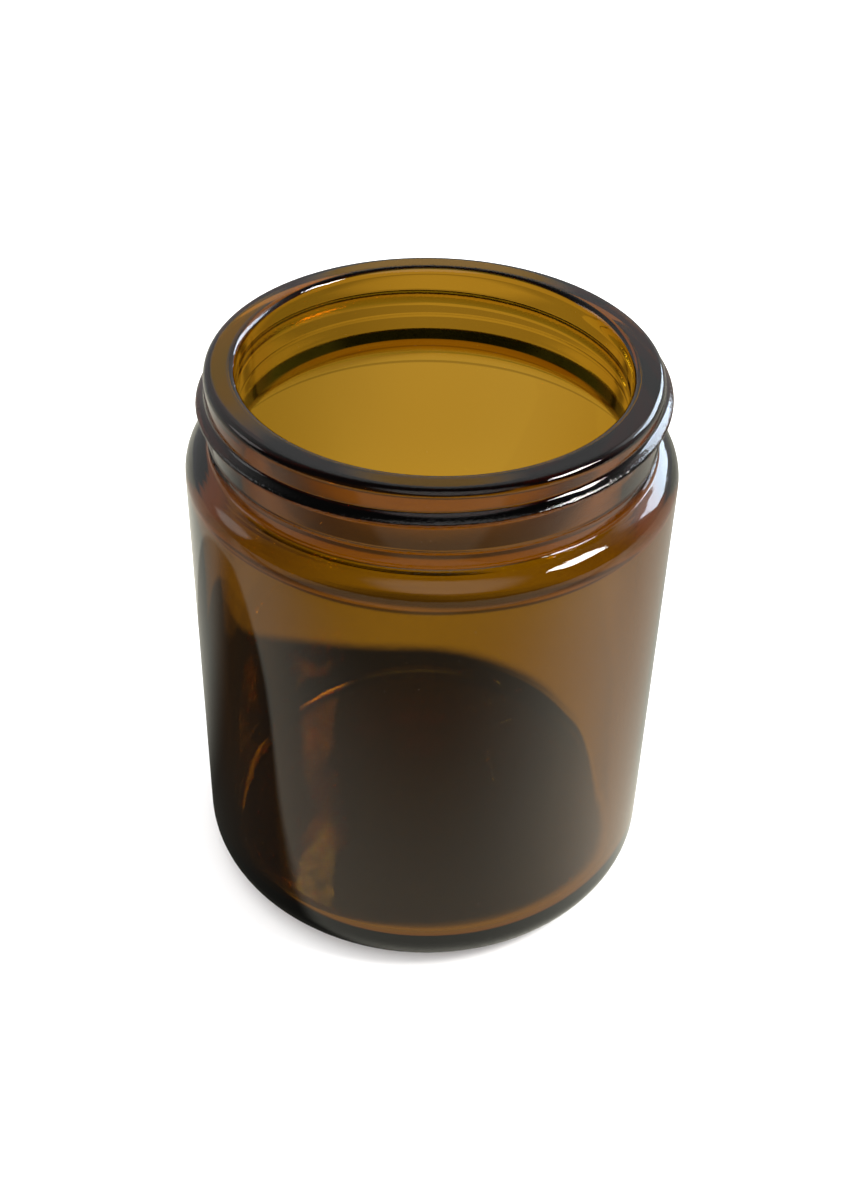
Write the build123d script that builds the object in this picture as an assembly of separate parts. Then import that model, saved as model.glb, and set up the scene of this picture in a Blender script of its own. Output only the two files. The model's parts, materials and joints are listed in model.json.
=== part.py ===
from build123d import *
import math
import os

# A straight-sided cosmetic cream jar: one moulded piece of amber glass with a wide screw neck.
# Millimetres. The origin is the centre of the base ring, and +Z runs up the jar's axis.

# Driving dimensions of the outside
BODY_DIAMETER = 73.5
HEIGHT = 90.0
HEEL_RADIUS = 6.25
SHOULDER_RADIUS = 4.2
SHOULDER_DEPTH = 16.6  # from the rim down to where the shoulder meets the straight wall
NECK_DIAMETER = 66.4
NECK_FILLET = 0.5

# Driving dimensions of the inside
MOUTH_DIAMETER = 57.2
LIP_RADIUS = 1.1
BORE_DEPTH = 12.4  # from the rim down to where the mouth starts to widen
BODY_WALL = 3.9
INNER_SHOULDER_RADIUS = 4.0
FLOOR_HEIGHT = 4.5
FLOOR_CORNER_RADIUS = 3.0

# The base stands on a flat ring, and is dished inside it
DISH_RADIUS = 27.5
DISH_HEIGHT = 1.0

# A continuous right-hand thread of one full turn, with its ends dying into the neck
THREAD_DIAMETER = 69.1
THREAD_PITCH = 25.4 / 6
THREAD_FRONT_DEPTH = 4.4  # from the rim down to the ridge's centre line on the -Y side
THREAD_LOW_ANGLE = 20.0  # where the full-height turn starts, in degrees from +X
THREAD_TURN = 360.0
THREAD_RUN_OUT = 25.0
RIDGE_ROOT_WIDTH = 3.2
RIDGE_CREST_WIDTH = 0.8
RIDGE_BURIED = 0.5  # how far the ridge's root sits inside the neck wall
RIDGE_POINTS = 72

body_radius = BODY_DIAMETER / 2
neck_radius = NECK_DIAMETER / 2
mouth_radius = MOUTH_DIAMETER / 2
cavity_radius = body_radius - BODY_WALL


def outside_lines():
    """The outer profile, from the axis under the base, up the wall and neck, to the top of the lip."""
    base_ring = (body_radius - HEEL_RADIUS, 0)
    wall_foot = (body_radius, HEEL_RADIUS)
    wall_top = (body_radius, HEIGHT - SHOULDER_DEPTH)
    shoulder_turn = math.acos(1 - (body_radius - neck_radius) / SHOULDER_RADIUS)
    neck_foot = (neck_radius, wall_top[1] + SHOULDER_RADIUS * math.sin(shoulder_turn))
    neck_top = (neck_radius, HEIGHT - LIP_RADIUS)
    half_dish = DISH_HEIGHT * 3 / 4
    ThreePointArc((0, DISH_HEIGHT), (DISH_RADIUS / 2, half_dish), (DISH_RADIUS, 0))
    Line((DISH_RADIUS, 0), base_ring)
    JernArc(base_ring, (1, 0), HEEL_RADIUS, 90)
    Line(wall_foot, wall_top)
    JernArc(wall_top, (0, 1), SHOULDER_RADIUS, math.degrees(shoulder_turn))
    Line(neck_foot, neck_top)
    JernArc(neck_top, (0, 1), LIP_RADIUS, 90)
    return neck_foot


def inside_lines():
    """The lip's flat land and the inner profile, down the mouth and the cavity's wall to its floor."""
    lip_top = (mouth_radius + LIP_RADIUS, HEIGHT)
    mouth_top = (mouth_radius, HEIGHT - LIP_RADIUS)
    mouth_foot = (mouth_radius, HEIGHT - BORE_DEPTH)
    half_step = (cavity_radius - mouth_radius) / 2
    turn = math.degrees(math.acos(1 - half_step / INNER_SHOULDER_RADIUS))
    floor_edge = (cavity_radius - FLOOR_CORNER_RADIUS, FLOOR_HEIGHT)
    Line((neck_radius - LIP_RADIUS, HEIGHT), lip_top)
    JernArc(lip_top, (-1, 0), LIP_RADIUS, 90)
    Line(mouth_top, mouth_foot)
    flare = JernArc(mouth_foot, (0, -1), INNER_SHOULDER_RADIUS, turn)
    shoulder = JernArc(flare @ 1, flare % 1, INNER_SHOULDER_RADIUS, -turn)
    corner = JernArc(floor_edge, (1, 0), FLOOR_CORNER_RADIUS, 90)
    Line(shoulder @ 1, corner @ 1)
    Line(floor_edge, (0, FLOOR_HEIGHT))
    Line((0, FLOOR_HEIGHT), (0, DISH_HEIGHT))


def turned_glass():
    """The jar without its thread, turned round the axis."""
    with BuildPart() as turned:
        with BuildSketch(Plane.XZ) as section:
            with BuildLine():
                neck_foot = outside_lines()
                inside_lines()
            make_face()
            corner = section.vertices().sort_by_distance((neck_foot[0], 0, neck_foot[1]))[0]
            fillet(corner, NECK_FILLET)
        revolve(axis=Axis.Z)
    return turned.part


def ridge_centre(angle):
    """Height of the thread's centre line at an angle in degrees, rising anticlockwise seen from above."""
    return HEIGHT - THREAD_FRONT_DEPTH + THREAD_PITCH * (angle - 270) / 360


def ridge_edge(root_radius, crest_radius, offset):
    """One long edge of the ridge, which is at crest_radius over the full turn and sinks to root_radius."""
    points = []
    first = THREAD_LOW_ANGLE - THREAD_RUN_OUT
    sweep_angle = THREAD_TURN + 2 * THREAD_RUN_OUT
    for step in range(RIDGE_POINTS + 1):
        angle = first + sweep_angle * step / RIDGE_POINTS
        from_end = min(angle - first, first + sweep_angle - angle)
        rise = min(1, from_end / THREAD_RUN_OUT)
        swell = rise * rise * (3 - 2 * rise)
        radius = root_radius + (crest_radius - root_radius) * swell
        turn = math.radians(angle)
        points.append((radius * math.cos(turn), radius * math.sin(turn), ridge_centre(angle) + offset))
    return Spline(*points)


def thread_ridge():
    """The thread as a closed solid: four long faces ruled between its edges, and a flat cap at each end."""
    buried_radius = neck_radius - RIDGE_BURIED
    sunk_radius = neck_radius - RIDGE_BURIED / 2
    crest_radius = THREAD_DIAMETER / 2
    edges = [
        ridge_edge(buried_radius, buried_radius, -RIDGE_ROOT_WIDTH / 2),
        ridge_edge(sunk_radius, crest_radius, -RIDGE_CREST_WIDTH / 2),
        ridge_edge(sunk_radius, crest_radius, RIDGE_CREST_WIDTH / 2),
        ridge_edge(buried_radius, buried_radius, RIDGE_ROOT_WIDTH / 2),
    ]
    pairs = list(zip(edges, edges[1:] + edges[:1]))
    faces = [Face.make_surface_from_curves(one, other) for one, other in pairs]
    for end in (0, 1):
        corners = [edge @ end for edge in edges]
        faces.append(Face(Wire(Polyline(*corners, close=True).edges())))
    return Solid(Shell(faces))


glass_jar = turned_glass() + thread_ridge()
glass_jar.label = "glass_jar"

os.makedirs("parts", exist_ok=True)
export_step(glass_jar, "parts/glass_jar.step")
print("glass volume", round(glass_jar.volume / 1000, 1), "ml, solids", len(glass_jar.solids()))
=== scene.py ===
# %% [markdown]
# # A cream jar in amber glass
#
# The jar is one moulded piece of glass: a straight wall, a rounded heel and shoulder, and a wide
# screw neck. The CAD part holds its sizes. This lesson replaces it with a finer glass mesh, gives
# it real amber glass, and lights it so that the glass can be read.

# %% The frame
import json
import math

import bmesh
import bpy
from mathutils import Matrix, Quaternion, Vector, noise


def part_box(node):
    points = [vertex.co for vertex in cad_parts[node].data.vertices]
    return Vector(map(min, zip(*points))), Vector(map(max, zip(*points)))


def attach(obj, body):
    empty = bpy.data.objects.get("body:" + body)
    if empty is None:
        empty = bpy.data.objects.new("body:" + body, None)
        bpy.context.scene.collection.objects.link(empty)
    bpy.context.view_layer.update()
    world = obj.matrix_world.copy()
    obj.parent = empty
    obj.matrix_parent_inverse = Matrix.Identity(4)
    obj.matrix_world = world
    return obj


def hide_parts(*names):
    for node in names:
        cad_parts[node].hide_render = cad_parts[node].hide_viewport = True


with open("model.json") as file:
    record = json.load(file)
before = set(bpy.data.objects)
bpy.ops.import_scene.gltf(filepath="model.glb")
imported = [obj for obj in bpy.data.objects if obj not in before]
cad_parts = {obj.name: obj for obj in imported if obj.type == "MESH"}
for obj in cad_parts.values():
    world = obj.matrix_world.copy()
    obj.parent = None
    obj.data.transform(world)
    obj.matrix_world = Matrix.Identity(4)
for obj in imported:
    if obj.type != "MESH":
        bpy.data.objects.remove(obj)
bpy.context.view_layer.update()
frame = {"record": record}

# %% [markdown]
# The CAD part's box is read first, before anything else is made.

# %% [markdown]
# The record lists the places where other parts fit the jar, with their real sizes: the straight
# body wall, the mouth and the thread. The mesh takes those sizes from them. The sizes that no place
# gives, such as the shoulder's and the neck's, are repeated below as fixed numbers, and must be
# changed along with the CAD part's.

# %% Driving sizes, in metres
MM = 0.001
mounts = {mount["name"]: mount for mount in frame["record"]["mounts"]}


def radius_of(name):
    """The radius that the record gives for a mount."""
    return mounts[name]["dims"]["r_mm"] * MM


def wall_span(name):
    """The lowest and highest point of a round wall, from its middle and its length."""
    middle = mounts[name]["pos_m"][2]
    half = mounts[name]["dims"]["length_mm"] * MM / 2
    return middle - half, middle + half


jar_low, jar_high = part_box("glass_jar")
height = jar_high[2] - jar_low[2]
body_radius, mouth_radius, thread_radius = (radius_of(n) for n in ("body", "mouth", "neck_thread"))
wall_foot, wall_top = wall_span("body")
bore_foot, bore_top = wall_span("mouth")
lip_radius = height - bore_top
print("body", body_radius, "mouth", mouth_radius, "straight wall", wall_foot, "to", wall_top)

# %% [markdown]
# A round glass jar is a profile turned about its axis. The profile is walked like a pen on paper:
# straight runs, and arcs that start in the direction the pen already has. Each stretch is cut into
# short steps, finer where the glass turns sharply, because refraction shows every facet.

# %% A pen that walks a profile


class Pen:
    """Walks the profile in the plane of radius and height, and keeps every point it passes."""

    def __init__(self, radius, z, heading):
        self.points = [Vector((radius, z))]
        self.heading = math.radians(heading)

    def run(self, length, steps):
        """A straight stretch ahead."""
        start = self.points[-1].copy()
        ahead = Vector((math.cos(self.heading), math.sin(self.heading)))
        self.points += [start + ahead * length * i / steps for i in range(1, steps + 1)]
        return self

    def bend(self, radius, degrees, steps):
        """An arc that leaves in the pen's direction: positive degrees turn left."""
        side = math.copysign(1, degrees)
        normal = Vector((-math.sin(self.heading), math.cos(self.heading))) * side
        centre = self.points[-1] + normal * radius
        start = self.points[-1] - centre
        for i in range(1, steps + 1):
            turn = Matrix.Rotation(math.radians(degrees) * i / steps, 2)
            self.points.append(centre + turn @ start)
        self.heading += math.radians(degrees)
        return self

    def run_to_height(self, z, steps):
        """A straight stretch that ends at a height, for a pen heading up or down."""
        return self.run(abs(z - self.points[-1].y), steps)

    def run_to_radius(self, radius, steps):
        """A straight stretch that ends at a radius, for a level pen."""
        return self.run(abs(radius - self.points[-1].x), steps)


# %% [markdown]
# The outside starts under the base. A moulded jar stands on a ring, with a shallow dish inside it,
# so that it doesn't rock. The heel rolls up into the straight wall, the shoulder rolls in to the
# neck, and the lip rolls over to a flat land that the cap's liner presses on.

# %% The outside of the profile
SHOULDER_RADIUS = 4.2 * MM
NECK_RADIUS = 33.2 * MM
NECK_FILLET = 0.5 * MM
DISH_RADIUS = 27.5 * MM
DISH_HEIGHT = 1.0 * MM

heel_radius = wall_foot
ring_radius = body_radius - heel_radius
dish_curve = (DISH_RADIUS ** 2 + DISH_HEIGHT ** 2) / (2 * DISH_HEIGHT)
dish_turn = math.degrees(math.asin(DISH_RADIUS / dish_curve))

# The fillet touches the shoulder's arc and the neck's wall from outside, which fixes where it starts.
reach = SHOULDER_RADIUS + NECK_FILLET
fillet_offset = NECK_RADIUS + NECK_FILLET - (body_radius - SHOULDER_RADIUS)
shoulder_turn = math.degrees(math.acos(fillet_offset / reach))

pen = Pen(0, DISH_HEIGHT, 0)
pen.bend(dish_curve, -dish_turn, 12)
pen.points[-1] = Vector((DISH_RADIUS, 0))
pen.heading = 0
pen.run_to_radius(ring_radius, 6)
pen.bend(heel_radius, 90, 14)
pen.run_to_height(wall_top, 22)
pen.bend(SHOULDER_RADIUS, shoulder_turn, 14)
pen.bend(NECK_FILLET, -shoulder_turn, 8)
neck_foot = pen.points[-1].y
pen.run_to_height(height - lip_radius, 80)
pen.bend(lip_radius, 90, 10)
pen.run_to_radius(mouth_radius + lip_radius, 4)
outside_count = len(pen.points)
print("outside points", outside_count, "neck foot", round((height - neck_foot) / MM, 2), "mm down")

# %% [markdown]
# The inside is the blown surface. The mouth is a short straight bore, and below it the wall steps
# out to the cavity in a soft double curve. The floor is thick, with a generous corner, because
# glass collects at the bottom of the mould.

# %% The inside of the profile
BODY_WALL = 3.9 * MM
INNER_SHOULDER_RADIUS = 4.0 * MM
FLOOR_HEIGHT = 4.5 * MM
FLOOR_CORNER_RADIUS = 3.0 * MM

cavity_radius = body_radius - BODY_WALL
half_step = (cavity_radius - mouth_radius) / 2
flare = math.degrees(math.acos(1 - half_step / INNER_SHOULDER_RADIUS))

pen.bend(lip_radius, 90, 10)
pen.run_to_height(bore_foot, 12)
pen.bend(INNER_SHOULDER_RADIUS, flare, 14)
pen.bend(INNER_SHOULDER_RADIUS, -flare, 12)
pen.run_to_height(FLOOR_HEIGHT + FLOOR_CORNER_RADIUS, 24)
pen.bend(FLOOR_CORNER_RADIUS, -90, 14)
pen.run_to_radius(0, 14)
profile = pen.points
print("profile points", len(profile), "ends at", tuple(round(c, 6) for c in profile[-1]))

# %% [markdown]
# The screw thread is a low rounded ridge that climbs the neck once, rising anticlockwise as seen
# from above, which is a right-hand thread. It could be a separate swept strip, but the real ridge
# flows out of the neck with no joint. So the neck's points are pushed outwards instead, by a height
# that depends on how far each point lies from the ridge's centre line.

# %% The thread
THREAD_PITCH = 25.4 * MM / 6
THREAD_FRONT_DEPTH = 4.4 * MM
THREAD_LOW_ANGLE = 20.0
THREAD_RUN_OUT = 25.0
RIDGE_HALF_WIDTH = 1.35 * MM
FRONT_ANGLE = 270.0

ridge_height = thread_radius - NECK_RADIUS


def smooth(value):
    """0 below 0, 1 above 1, and an easy curve between."""
    value = min(1.0, max(0.0, value))
    return value * value * (3 - 2 * value)


def ridge_share(angle, z):
    """How much of the ridge's height stands at an angle in degrees and a height, from 0 to 1."""
    share = 0.0
    for turn in (-360, 0, 360):
        along = angle + turn
        from_low = along - (THREAD_LOW_ANGLE - THREAD_RUN_OUT)
        from_high = THREAD_LOW_ANGLE + 360 + THREAD_RUN_OUT - along
        ends = smooth(min(from_low, from_high) / THREAD_RUN_OUT)
        centre = height - THREAD_FRONT_DEPTH + THREAD_PITCH * (along - FRONT_ANGLE) / 360
        across = min(1.0, abs(z - centre) / RIDGE_HALF_WIDTH)
        share = max(share, ends * (0.5 + 0.5 * math.cos(math.pi * across)))
    return share


# %% [markdown]
# Moulded glass is never perfect. The outside copies the mould, so it is nearly true. The inside is
# shaped by air, so its wall is a little uneven. A faint parting line runs round the neck where the
# neck ring met the body mould. The underside is assumed: the ring there gets the row of small bars
# that many jars have, which keep the hot jar from cracking on a cold belt. A texture could fake all
# this, but glass bends light by its true shape, so the points themselves are moved. The outside of
# the body only moves inwards, and the parting line is lower than the thread, so the size is kept.

# %% Uneven glass
OUTSIDE_WAVE, OUTSIDE_WAVE_SIZE, OUTSIDE_SEED = 0.035 * MM, 11 * MM, 3.1
INSIDE_WAVE, INSIDE_WAVE_SIZE, INSIDE_SEED = 0.16 * MM, 16 * MM, 7.7
INSIDE_STRETCH = 0.6
INSIDE_EASE = 8 * MM
PARTING_DEPTH = 9.6 * MM
PARTING_HEIGHT = 0.1 * MM
PARTING_HALF_WIDTH = 0.3 * MM
KNURL_COUNT = 80
KNURL_HEIGHT = 0.16 * MM
KNURL_EDGE = 1 * MM


def wave(x, y, z, size, seed):
    """Smooth random unevenness from -1 to 1, with bumps about as wide as size."""
    return noise.noise(Vector((x, y, z)) / size + Vector((seed, seed * 2, seed * 3)))


def outside_shift(radius, z, angle, x, y):
    """How far an outside point moves along the radius."""
    if z > neck_foot:
        parting = max(0.0, 1 - abs(height - PARTING_DEPTH - z) / PARTING_HALF_WIDTH)
        return ridge_height * ridge_share(angle, z) + PARTING_HEIGHT * parting
    if radius > ring_radius:
        return OUTSIDE_WAVE * (wave(x, y, z, OUTSIDE_WAVE_SIZE, OUTSIDE_SEED) - 1) / 2
    return 0.0


def inside_shift(radius, z, angle, x, y):
    """How far an inside point moves along the radius. The mouth and the floor's middle stay true."""
    if z > bore_foot:
        return 0.0
    ease = smooth((bore_foot - z) / INSIDE_EASE) * smooth(radius / cavity_radius)
    return INSIDE_WAVE * ease * wave(x, y, z * INSIDE_STRETCH, INSIDE_WAVE_SIZE, INSIDE_SEED)


def knurl(radius, angle):
    """The height of the moulded bars on the ring under the base."""
    across = smooth((radius - DISH_RADIUS) / KNURL_EDGE) * smooth((ring_radius - radius) / KNURL_EDGE)
    return KNURL_HEIGHT * across * (0.5 + 0.5 * math.cos(math.radians(angle) * KNURL_COUNT))


print("bars under the base", KNURL_COUNT, "parting line", round(PARTING_DEPTH / MM, 1), "mm down")

# %% [markdown]
# The profile is turned into a closed skin of quads, with a fan of triangles where it meets the axis
# under the base and on the floor. A closed skin matters: the renderer tints glass by how far light
# travels between where it enters and where it leaves.

# %% Turning the profile into glass
SEGMENTS = 320
NEARLY_ZERO = 1e-6


def ring_of_points(shape, point, shift):
    """One turn of the profile's point as a ring of vertices, or a single one on the axis."""
    if point.x < NEARLY_ZERO:
        return [shape.verts.new((0, 0, point.y))]
    ring = []
    for step in range(SEGMENTS):
        angle = 360 * step / SEGMENTS
        cos, sin = math.cos(math.radians(angle)), math.sin(math.radians(angle))
        radius = point.x + shift(point.x, point.y, angle, point.x * cos, point.x * sin)
        lift = knurl(point.x, angle) if point.y < NEARLY_ZERO else 0
        ring.append(shape.verts.new((radius * cos, radius * sin, point.y + lift)))
    return ring


def join_rings(shape, low, high):
    """The faces between two rings that follow each other."""
    for step in range(SEGMENTS):
        following = (step + 1) % SEGMENTS
        if len(low) == 1:
            corners = [low[0], high[following], high[step]]
        elif len(high) == 1:
            corners = [low[step], low[following], high[0]]
        else:
            corners = [low[step], low[following], high[following], high[step]]
        shape.faces.new(corners).smooth = True


def turn_profile(name, outline):
    """A closed mesh of the outline turned about Z, with each point pushed by its own unevenness."""
    shape = bmesh.new()
    shifts = [outside_shift] * outside_count + [inside_shift] * (len(outline) - outside_count)
    rings = [ring_of_points(shape, point, shift) for point, shift in zip(outline, shifts)]
    for low, high in zip(rings, rings[1:]):
        join_rings(shape, low, high)
    bmesh.ops.recalc_face_normals(shape, faces=shape.faces)
    mesh = bpy.data.meshes.new(name)
    shape.to_mesh(mesh)
    shape.free()
    made = bpy.data.objects.new(name, mesh)
    bpy.context.scene.collection.objects.link(made)
    return made


glass = turn_profile("moulded_glass", profile)
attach(glass, "root")
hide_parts("glass_jar")
print("glass faces", len(glass.data.polygons))

# %% [markdown]
# Shader nodes are easier to read as sums. This small class wraps a socket, so that ordinary Python
# arithmetic adds the Math nodes, and one method makes any other node.

# %% Shader maths as expressions


class Wire:
    """A node's output that can be used in sums."""

    def __init__(self, tree, socket):
        self.tree, self.socket = tree, socket

    def node(self, kind, settings=None, output=0, **inputs):
        """Makes a node, applies its settings, then feeds its sockets with values or wires."""
        return make_node(self.tree, kind, settings, output, **inputs)

    def _math(self, operation, one, two):
        """One Math node."""
        return self.node("ShaderNodeMath", {"operation": operation}, _0=one, _1=two)

    def __add__(self, other):
        return self._math("ADD", self, other)

    def __mul__(self, other):
        return self._math("MULTIPLY", self, other)

    def __sub__(self, other):
        return self._math("SUBTRACT", self, other)

    def __truediv__(self, other):
        return self._math("DIVIDE", self, other)

    def __rsub__(self, other):
        return self._math("SUBTRACT", other, self)

    __radd__, __rmul__ = __add__, __mul__

    def root(self):
        """The square root."""
        return self._math("SQRT", self, 0.0)

    def at_least(self, other):
        """This, or the other where that is larger."""
        return self._math("MAXIMUM", self, other)

    def split(self):
        """The three parts of a place or a direction."""
        return [self.node("ShaderNodeSeparateXYZ", output=axis, Vector=self) for axis in range(3)]

    def ramp(self, start, end):
        """0 at start and before it, 1 at end and after it, with an easy curve between."""
        settings = {"interpolation_type": "SMOOTHSTEP"}
        return self.node("ShaderNodeMapRange", settings, Value=self, From_Min=start, From_Max=end)

    def blend(self, one, two):
        """The first colour where this is 0, and the second where it is 1."""
        return self.node("ShaderNodeMix", {"data_type": "RGBA"}, 2, Factor=self, _6=one, _7=two)


def make_node(tree, kind, settings=None, output=0, **inputs):
    """Adds one node. A keyword like _0 is an input by its place, and other keywords are its name."""
    made = tree.nodes.new(kind)
    for name, value in (settings or {}).items():
        setattr(made, name, value)
    for name, value in inputs.items():
        socket = made.inputs[int(name[1:]) if name.startswith("_") else name.replace("_", " ")]
        if isinstance(value, Wire):
            tree.links.new(value.socket, socket)
        else:
            socket.default_value = value
    return Wire(tree, made.outputs[output])


def end_nodes(tree, kind, **inputs):
    """Adds the node that a tree ends in, and joins the wires to it."""
    end = tree.nodes.new(kind)
    for name, wire in inputs.items():
        tree.links.new(wire.socket, end.inputs[name])


# %% [markdown]
# The skin of the glass is glossy, but not blank. It ripples faintly all over, the crest of the
# thread is a little grainy, and fine rings run round the shoulder, like the marks that a cutting
# tool leaves in a mould. These are too fine for points, so they tilt the surface's normal instead,
# and they are placed by radius and height. A few specks of dust make tiny spots rougher.

# %% The skin of the glass
RIPPLE_SCALE, RIPPLE_SHARE = 260.0, 0.08
GRAIN_SCALE, GRAIN_SHARE = 2600.0, 1.5
RINGS_SCALE, RINGS_SHARE = 1300.0, 0.45
RELIEF_STRENGTH, RELIEF_DEPTH = 0.5, 0.1 * MM
SPECK_SCALE, SPECK_CORE, SPECK_EDGE = 420.0, 0.03, 0.06
SPECK_ROUGHNESS = 0.25


def skin_normal(place):
    """The ripples, the grain of the ridge and the rings of the shoulder, as one normal."""
    x, y, z = place.split()
    radius = (x * x + y * y).root()
    on_neck = z.ramp(neck_foot, neck_foot + 1 * MM)
    on_ridge = radius.ramp(NECK_RADIUS + 0.4 * MM, thread_radius) * on_neck
    outside = radius.ramp(NECK_RADIUS - 0.5 * MM, NECK_RADIUS - 0.2 * MM)
    rounded = 1 - radius.ramp(body_radius - 0.6 * MM, body_radius - 0.1 * MM)
    above_wall = z.ramp(wall_top + 1 * MM, wall_top + 2 * MM)
    on_shoulder = outside * rounded * above_wall * (1 - on_neck)
    ripple = place.node("ShaderNodeTexNoise", Vector=place, Scale=RIPPLE_SCALE, Detail=2.0)
    grain = place.node("ShaderNodeTexNoise", Vector=place, Scale=GRAIN_SCALE, Detail=1.0)
    around = (z - radius) * RINGS_SCALE
    rings = place.node("ShaderNodeTexNoise", {"noise_dimensions": "1D"}, W=around, Scale=1.0)
    relief = ripple * RIPPLE_SHARE + grain * on_ridge * GRAIN_SHARE + rings * on_shoulder * RINGS_SHARE
    return place.node("ShaderNodeBump", Height=relief, Strength=RELIEF_STRENGTH, Distance=RELIEF_DEPTH)


def skin_roughness(place):
    """Perfectly glossy glass, apart from its specks of dust."""
    away = place.node("ShaderNodeTexVoronoi", Vector=place, Scale=SPECK_SCALE)
    clean = place.node("ShaderNodeMapRange", Value=away, From_Min=SPECK_CORE, From_Max=SPECK_EDGE)
    return (1 - clean) * SPECK_ROUGHNESS


print("ripples about", round(1 / RIPPLE_SCALE / MM, 1), "mm wide")

# %% [markdown]
# Amber glass is clear glass with iron and carbon in it. It soaks up nearly all blue light within a
# couple of millimetres, less of the green, and little of the red, so thin walls look golden and
# thick corners look black. A tinted surface would give every part one colour, so the amber is a
# volume absorption, set per metre of glass, and the surface itself stays colourless.

# %% Amber glass
RED, GREEN, BLUE = 162.0, 288.0, 880.0
DENSITY = 1000.0
GLASS_IOR = 1.52


def amber_glass():
    """Glass with a colourless surface and an amber inside."""
    material = bpy.data.materials.new("amber_glass")
    material.use_nodes = True
    tree = material.node_tree
    tree.nodes.clear()
    place = make_node(tree, "ShaderNodeTexCoord", output="Object")
    surface = place.node(
        "ShaderNodeBsdfPrincipled",
        Base_Color=(1, 1, 1, 1),
        IOR=GLASS_IOR,
        Transmission_Weight=1.0,
        Roughness=skin_roughness(place),
        Normal=skin_normal(place),
    )
    kept = [1 - part / DENSITY for part in (RED, GREEN, BLUE)]
    depth = place.node("ShaderNodeVolumeAbsorption", Color=(*kept, 1), Density=DENSITY)
    end_nodes(tree, "ShaderNodeOutputMaterial", Surface=surface, Volume=depth)
    return material


glass.data.materials.append(amber_glass())
wall_share = [round(math.exp(-part * BODY_WALL), 2) for part in (RED, GREEN, BLUE)]
print("one wall lets through", wall_share, "of red, green and blue")

# %% [markdown]
# The jar stands on a plain pale paper floor, wide enough to fill the view. The glass doesn't see
# this paper. It sees two cards of its own, made next, so that their tones can be set without
# changing the paper.

# %% The floor
FLOOR_SIDE = 6.0
PAPER_DEPTH = -0.3 * MM


def flat_square(name, z, material):
    """A staged square of paper or card, level with the floor."""
    reach = FLOOR_SIDE / 2
    corners = [(-reach, -reach, 0), (reach, -reach, 0), (reach, reach, 0), (-reach, reach, 0)]
    mesh = bpy.data.meshes.new(name)
    mesh.from_pydata(corners, [], [(0, 1, 2, 3)])
    mesh.materials.append(material)
    made = bpy.data.objects.new(name, mesh)
    bpy.context.scene.collection.objects.link(made)
    made.location.z = z
    return made


paper = bpy.data.materials.new("pale_paper")
paper.use_nodes = True
paper.node_tree.nodes["Principled BSDF"].inputs["Base Color"].default_value = (0.9, 0.9, 0.9, 1)
paper.node_tree.nodes["Principled BSDF"].inputs["Roughness"].default_value = 0.9
floor = flat_square("floor", PAPER_DEPTH, paper)
floor.visible_glossy = floor.visible_transmission = False
print("floor", FLOOR_SIDE, "m square")

# %% [markdown]
# Glass is mostly a picture of the room, so a studio lights it with cards. Here two glowing cards
# lie just over the paper: one is seen only in reflections, and one only through the glass. The jar's
# shadow is drawn on both, running to the left, away from the lamp. Its shape and all the tones are
# chosen for the view from in front. They are staging, and no part of the jar's own glass.

# %% Cards that only the glass sees
SHADOW_RIGHT, SHADOW_LEFT = -1 * MM, -70 * MM
SHADOW_SOFT = 2 * MM


def outside_shadow(x, y, middle, radius, spread):
    """0 in the shadow and 1 outside it. The shadow widens to the left by its spread."""
    along = x - x.node("ShaderNodeClamp", Value=x, Min=SHADOW_LEFT, Max=SHADOW_RIGHT)
    across = y - middle + x * spread
    away = (along * along + across * across).root() + x * spread
    return away.ramp(radius - SHADOW_SOFT, radius + SHADOW_SOFT)


def card_material(name):
    """An empty material for a card, and the place on the card as a wire."""
    material = bpy.data.materials.new(name)
    material.use_nodes = True
    material.cycles.emission_sampling = "NONE"
    material.node_tree.nodes.clear()
    return material, make_node(material.node_tree, "ShaderNodeTexCoord", output="Object")


def glowing_card(material, z, brightness, colour):
    """A square that glows, and that neither the camera nor the paper sees."""
    glow = brightness.node("ShaderNodeEmission", Strength=brightness, Color=colour)
    end_nodes(material.node_tree, "ShaderNodeOutputMaterial", Surface=glow)
    card = flat_square(material.name, z, material)
    card.visible_camera = card.visible_diffuse = card.visible_shadow = False
    return card


print("shadow reaches", round(-SHADOW_LEFT / MM), "mm to the left")

# %% [markdown]
# In reflections, the floor is brightest on the right and behind on the left, and darkest in a band
# in front of the jar. Nearer the heel and further off it is lighter again. The shadow widens to the
# left, and it is less dark behind the jar's middle.

# %% The floor in reflections
RIGHT_TONE, LEFT_TONE, BACK_TONE = 0.5, 1.0, 0.35
FRONT_TONE, CLOSE_TONE, FAR_TONE = 0.15, 0.4, 0.3
BACK_SHADE = 0.27
SHADOW_TONE, BACK_SHADOW_TONE = 0.1, 0.45
WARM_GREY = (1, 0.98, 0.84, 1)

material, place = card_material("mirrored_floor")
x, y, _ = place.split()
lit = outside_shadow(x, y, 0, 35 * MM, 0.13)
distance = (x * x + y * y).root()
right = (x / distance).at_least(0)
left = (0 - x / distance).at_least(0)
back = (y / distance).at_least(0)
sides = right * right * RIGHT_TONE + left * back * LEFT_TONE + back * back * back * back * BACK_TONE
close = y.ramp(-110 * MM, -40 * MM) * CLOSE_TONE
far = (1 - y.ramp(-138 * MM, -130 * MM)) * FAR_TONE
shade = y.ramp(-30 * MM, 20 * MM) * BACK_SHADE
tone = sides + close + far - shade + FRONT_TONE
in_shadow = (1 - lit) * y.ramp(0, 30 * MM) * BACK_SHADOW_TONE
tone = tone * (lit * (1 - SHADOW_TONE) + SHADOW_TONE + in_shadow)
mirrored = glowing_card(material, -0.2 * MM, tone, WARM_GREY)
mirrored.visible_transmission = False
print("card", mirrored.name)

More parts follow.
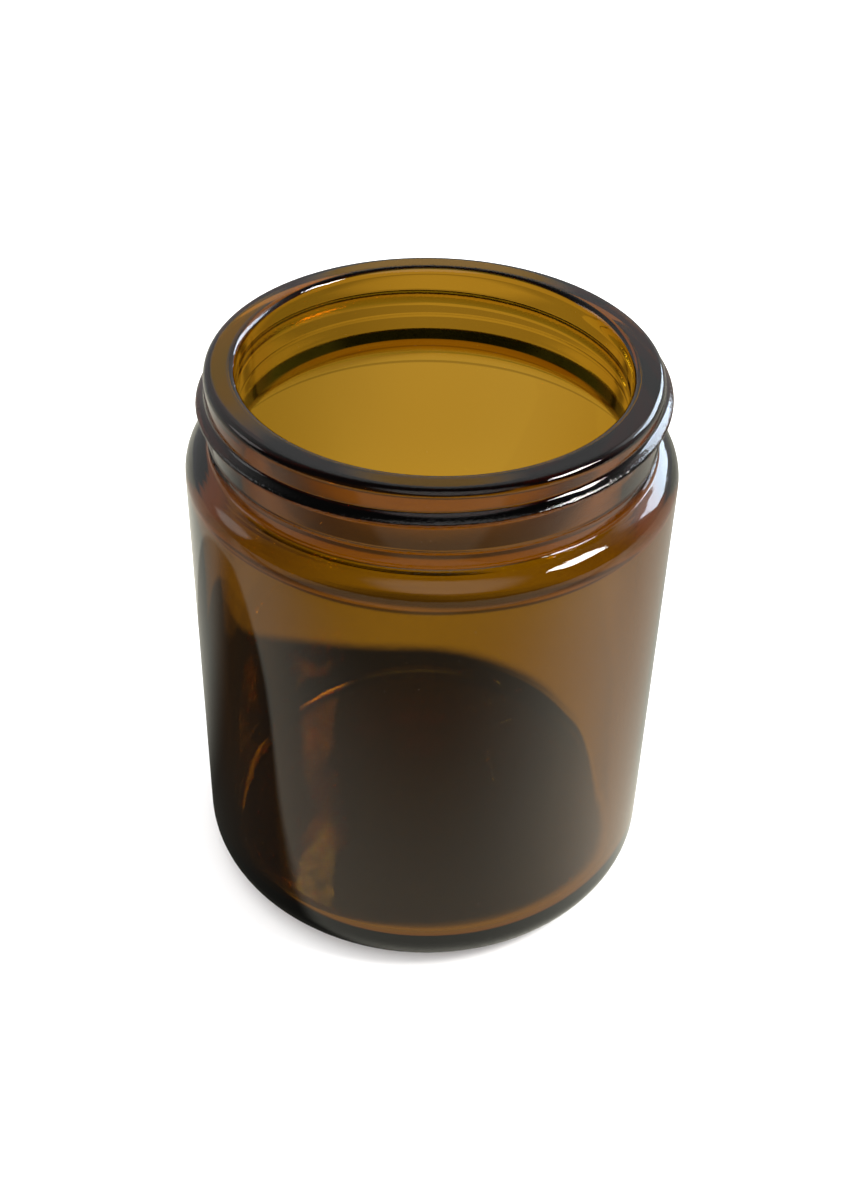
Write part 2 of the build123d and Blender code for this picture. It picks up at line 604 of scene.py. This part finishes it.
# %% [markdown]
# Through the glass, the floor is bright outside the shadow, and a little dimmer far behind and to
# the left. Two dimmer strips darken what is seen through the neck. The tone is greenish close by and
# pinkish further off: one depth of amber can't suit both one wall and two walls of glass, and these
# tones make up the difference.

# %% The floor through the glass
LEFT_SHADE, FAR_SHADE = 0.3, 0.1
NECK_SHADE, INNER_NECK_SHADE = 0.7, 0.35
NECK_STRIP_BOW = 11.0
NEAR_FRONT_TONE = 0.35
DARKEST, LEFT_SHADOW_TONE = 0.02, 0.15
GREENISH, PINKISH = (0.88, 1.1, 1, 1), (1, 0.9, 1, 1)

material, place = card_material("floor_through_glass")
x, y, _ = place.split()
lit = outside_shadow(x, y, 9 * MM, 37.5 * MM, 0)
bowed = y - x * x * NECK_STRIP_BOW
neck_strip = bowed.ramp(60 * MM, 74 * MM) * (1 - bowed.ramp(80 * MM, 94 * MM))
inner_strip = y.ramp(158 * MM, 170 * MM) * (1 - y.ramp(186 * MM, 196 * MM))
tone = (1 - y.ramp(60 * MM, 130 * MM) * FAR_SHADE) * (1 - x.ramp(0, -50 * MM) * LEFT_SHADE)
tone = tone * (1 - neck_strip * NECK_SHADE) * (1 - inner_strip * INNER_NECK_SHADE)
tone = tone * (y.ramp(-60 * MM, -20 * MM) * (1 - NEAR_FRONT_TONE) + NEAR_FRONT_TONE)
in_shadow = (1 - lit) * x.ramp(-30 * MM, -70 * MM) * LEFT_SHADOW_TONE
tone = tone * (lit * (1 - DARKEST) + DARKEST + in_shadow)
seen = glowing_card(material, -0.1 * MM, tone, y.ramp(70 * MM, 100 * MM).blend(GREENISH, PINKISH))
seen.visible_glossy = False
print("card", seen.name)

# %% [markdown]
# The room is one even light for the paper, strong enough to make it white and the shadow on it
# pale. For the glass the room is darker: a pale wall behind, a window on each side, a soft ceiling in
# front, and three small warm glows. The rim's flat top mirrors those at the back, the left and the
# front, and takes its amber tone from them. All of this too is chosen for that view.

# %% The room
PAPER_LIGHT = 1.9
WALL_LIGHT, DARK_ROOM = 0.5, 0.04
WARM_GLOW = 0.9

world = bpy.data.worlds.new("pale_room")
bpy.context.scene.world = world
world.use_nodes = True
tree = world.node_tree
tree.nodes.clear()
direction = make_node(tree, "ShaderNodeTexCoord", output="Generated")


def glow_towards(aim, start, end):
    """A soft round patch of light in the direction of aim, from the cosines of its edge and core."""
    settings = {"operation": "DOT_PRODUCT"}
    aim = Vector(aim).normalized()
    return direction.node("ShaderNodeVectorMath", settings, 1, _0=direction, _1=aim).ramp(start, end)


_, behind, above = direction.split()
wall = behind.ramp(-0.1, 0.5) * (1 - above.ramp(0.55, 0.95)) * WALL_LIGHT + DARK_ROOM
right_window = glow_towards((0.62, 0.62, 0.48), 0.93, 0.985) * 1.1
left_window = glow_towards((-0.88, 0.17, 0.41), 0.975, 0.99) * 1.2
ceiling = glow_towards((0.1, -0.6, 0.79), 0.85, 0.97) * 0.8
back_glow = glow_towards((0, 0.893, 0.451), 0.996, 0.9995) * 1.5
left_glow = glow_towards((-0.129, 0.858, 0.498), 0.998, 0.9998)
front_glow = glow_towards((0, 0.826, 0.564), 0.998, 0.9998)
warm = back_glow + left_glow + front_glow
for_glass = wall + right_window + left_window + ceiling + warm * WARM_GLOW
on_paper = direction.node("ShaderNodeLightPath", output="Is Diffuse Ray")
on_view = direction.node("ShaderNodeLightPath", output="Is Camera Ray")
plain = on_paper + on_view
strength = plain * PAPER_LIGHT + (1 - plain) * for_glass
colour = ((1 - plain) * warm).blend((1, 1, 1, 1), (1, 0.6, 0.2, 1))
sky = direction.node("ShaderNodeBackground", Strength=strength, Color=colour)
end_nodes(tree, "ShaderNodeOutputWorld", Surface=sky)
print("room nodes", len(tree.nodes))

# %% [markdown]
# Two soft lamps shine on the jar: a slightly warm one high on the right, and a cool one behind on
# the right. A lamp's shape shows in its highlights on glass, so both are plain rectangles, like a
# soft box and a window.

# %% The lamps


def soft_lamp(name, azimuth, elevation, distance, size, power, colour):
    """A rectangular soft lamp that faces the jar. Azimuth is counted from +X, like the thread."""
    lamp = bpy.data.lights.new(name, "AREA")
    lamp.shape = "RECTANGLE"
    lamp.size, lamp.size_y = size
    lamp.energy = power
    lamp.color = colour
    made = bpy.data.objects.new(name, lamp)
    bpy.context.scene.collection.objects.link(made)
    a, e = math.radians(azimuth), math.radians(elevation)
    towards = Vector((math.cos(a) * math.cos(e), math.sin(a) * math.cos(e), math.sin(e)))
    made.location = Vector((0, 0, height / 2)) + towards * distance
    made.rotation_euler = towards.to_track_quat("Z", "Y").to_euler()
    return made


key = soft_lamp("key_lamp", 352, 46, 1.2, (0.42, 0.28), 13.0, (1, 0.98, 0.95))
window = soft_lamp("window", 45, 25, 1.5, (0.9, 0.5), 14.0, (0.7, 0.84, 1))
print("lamps", key.name, window.name)

# %% [markdown]
# The camera looks down on the jar from in front, nearly on its axis. Its distance and height are
# given in body radii, so the view keeps its framing if the jar's size changes.

# %% The camera
LENS = 49.93
DOWN = 38.16
ROLL = 1.65
BACK = 5.602
UP = 5.7025
AIM_RIGHT = 0.14

camera = bpy.data.objects.new("camera", bpy.data.cameras.new("camera"))
bpy.context.scene.collection.objects.link(camera)
camera.data.lens = LENS
camera.data.sensor_width = 36.0
camera.data.clip_start = 0.01
camera.location = Vector((0, -BACK, UP)) * body_radius
ahead = Vector((0, 1, 0))
ahead.rotate(Quaternion((1, 0, 0), math.radians(-DOWN)))
ahead.rotate(Quaternion((0, 0, 1), math.radians(-AIM_RIGHT)))
look = ahead.to_track_quat("-Z", "Y")
camera.rotation_mode = "QUATERNION"
camera.rotation_quaternion = look @ Quaternion((0, 0, 1), math.radians(ROLL))
bpy.context.scene.camera = camera
print("camera", round(camera.location.length, 3), "m from the base")

# %% [markdown]
# Light crosses four or more skins of glass and is mirrored inside the rim and the heel. With too few
# bounces those places turn black, so the limit is raised. The standard view keeps the paper white.

# %% Bounces and view
MOST_BOUNCES = 32

bpy.context.scene.cycles.max_bounces = MOST_BOUNCES
bpy.context.scene.cycles.transmission_bounces = MOST_BOUNCES
bpy.context.scene.view_settings.view_transform = "Standard"
print("bounces", MOST_BOUNCES)

# %% A last update of the scene
bpy.context.view_layer.update()
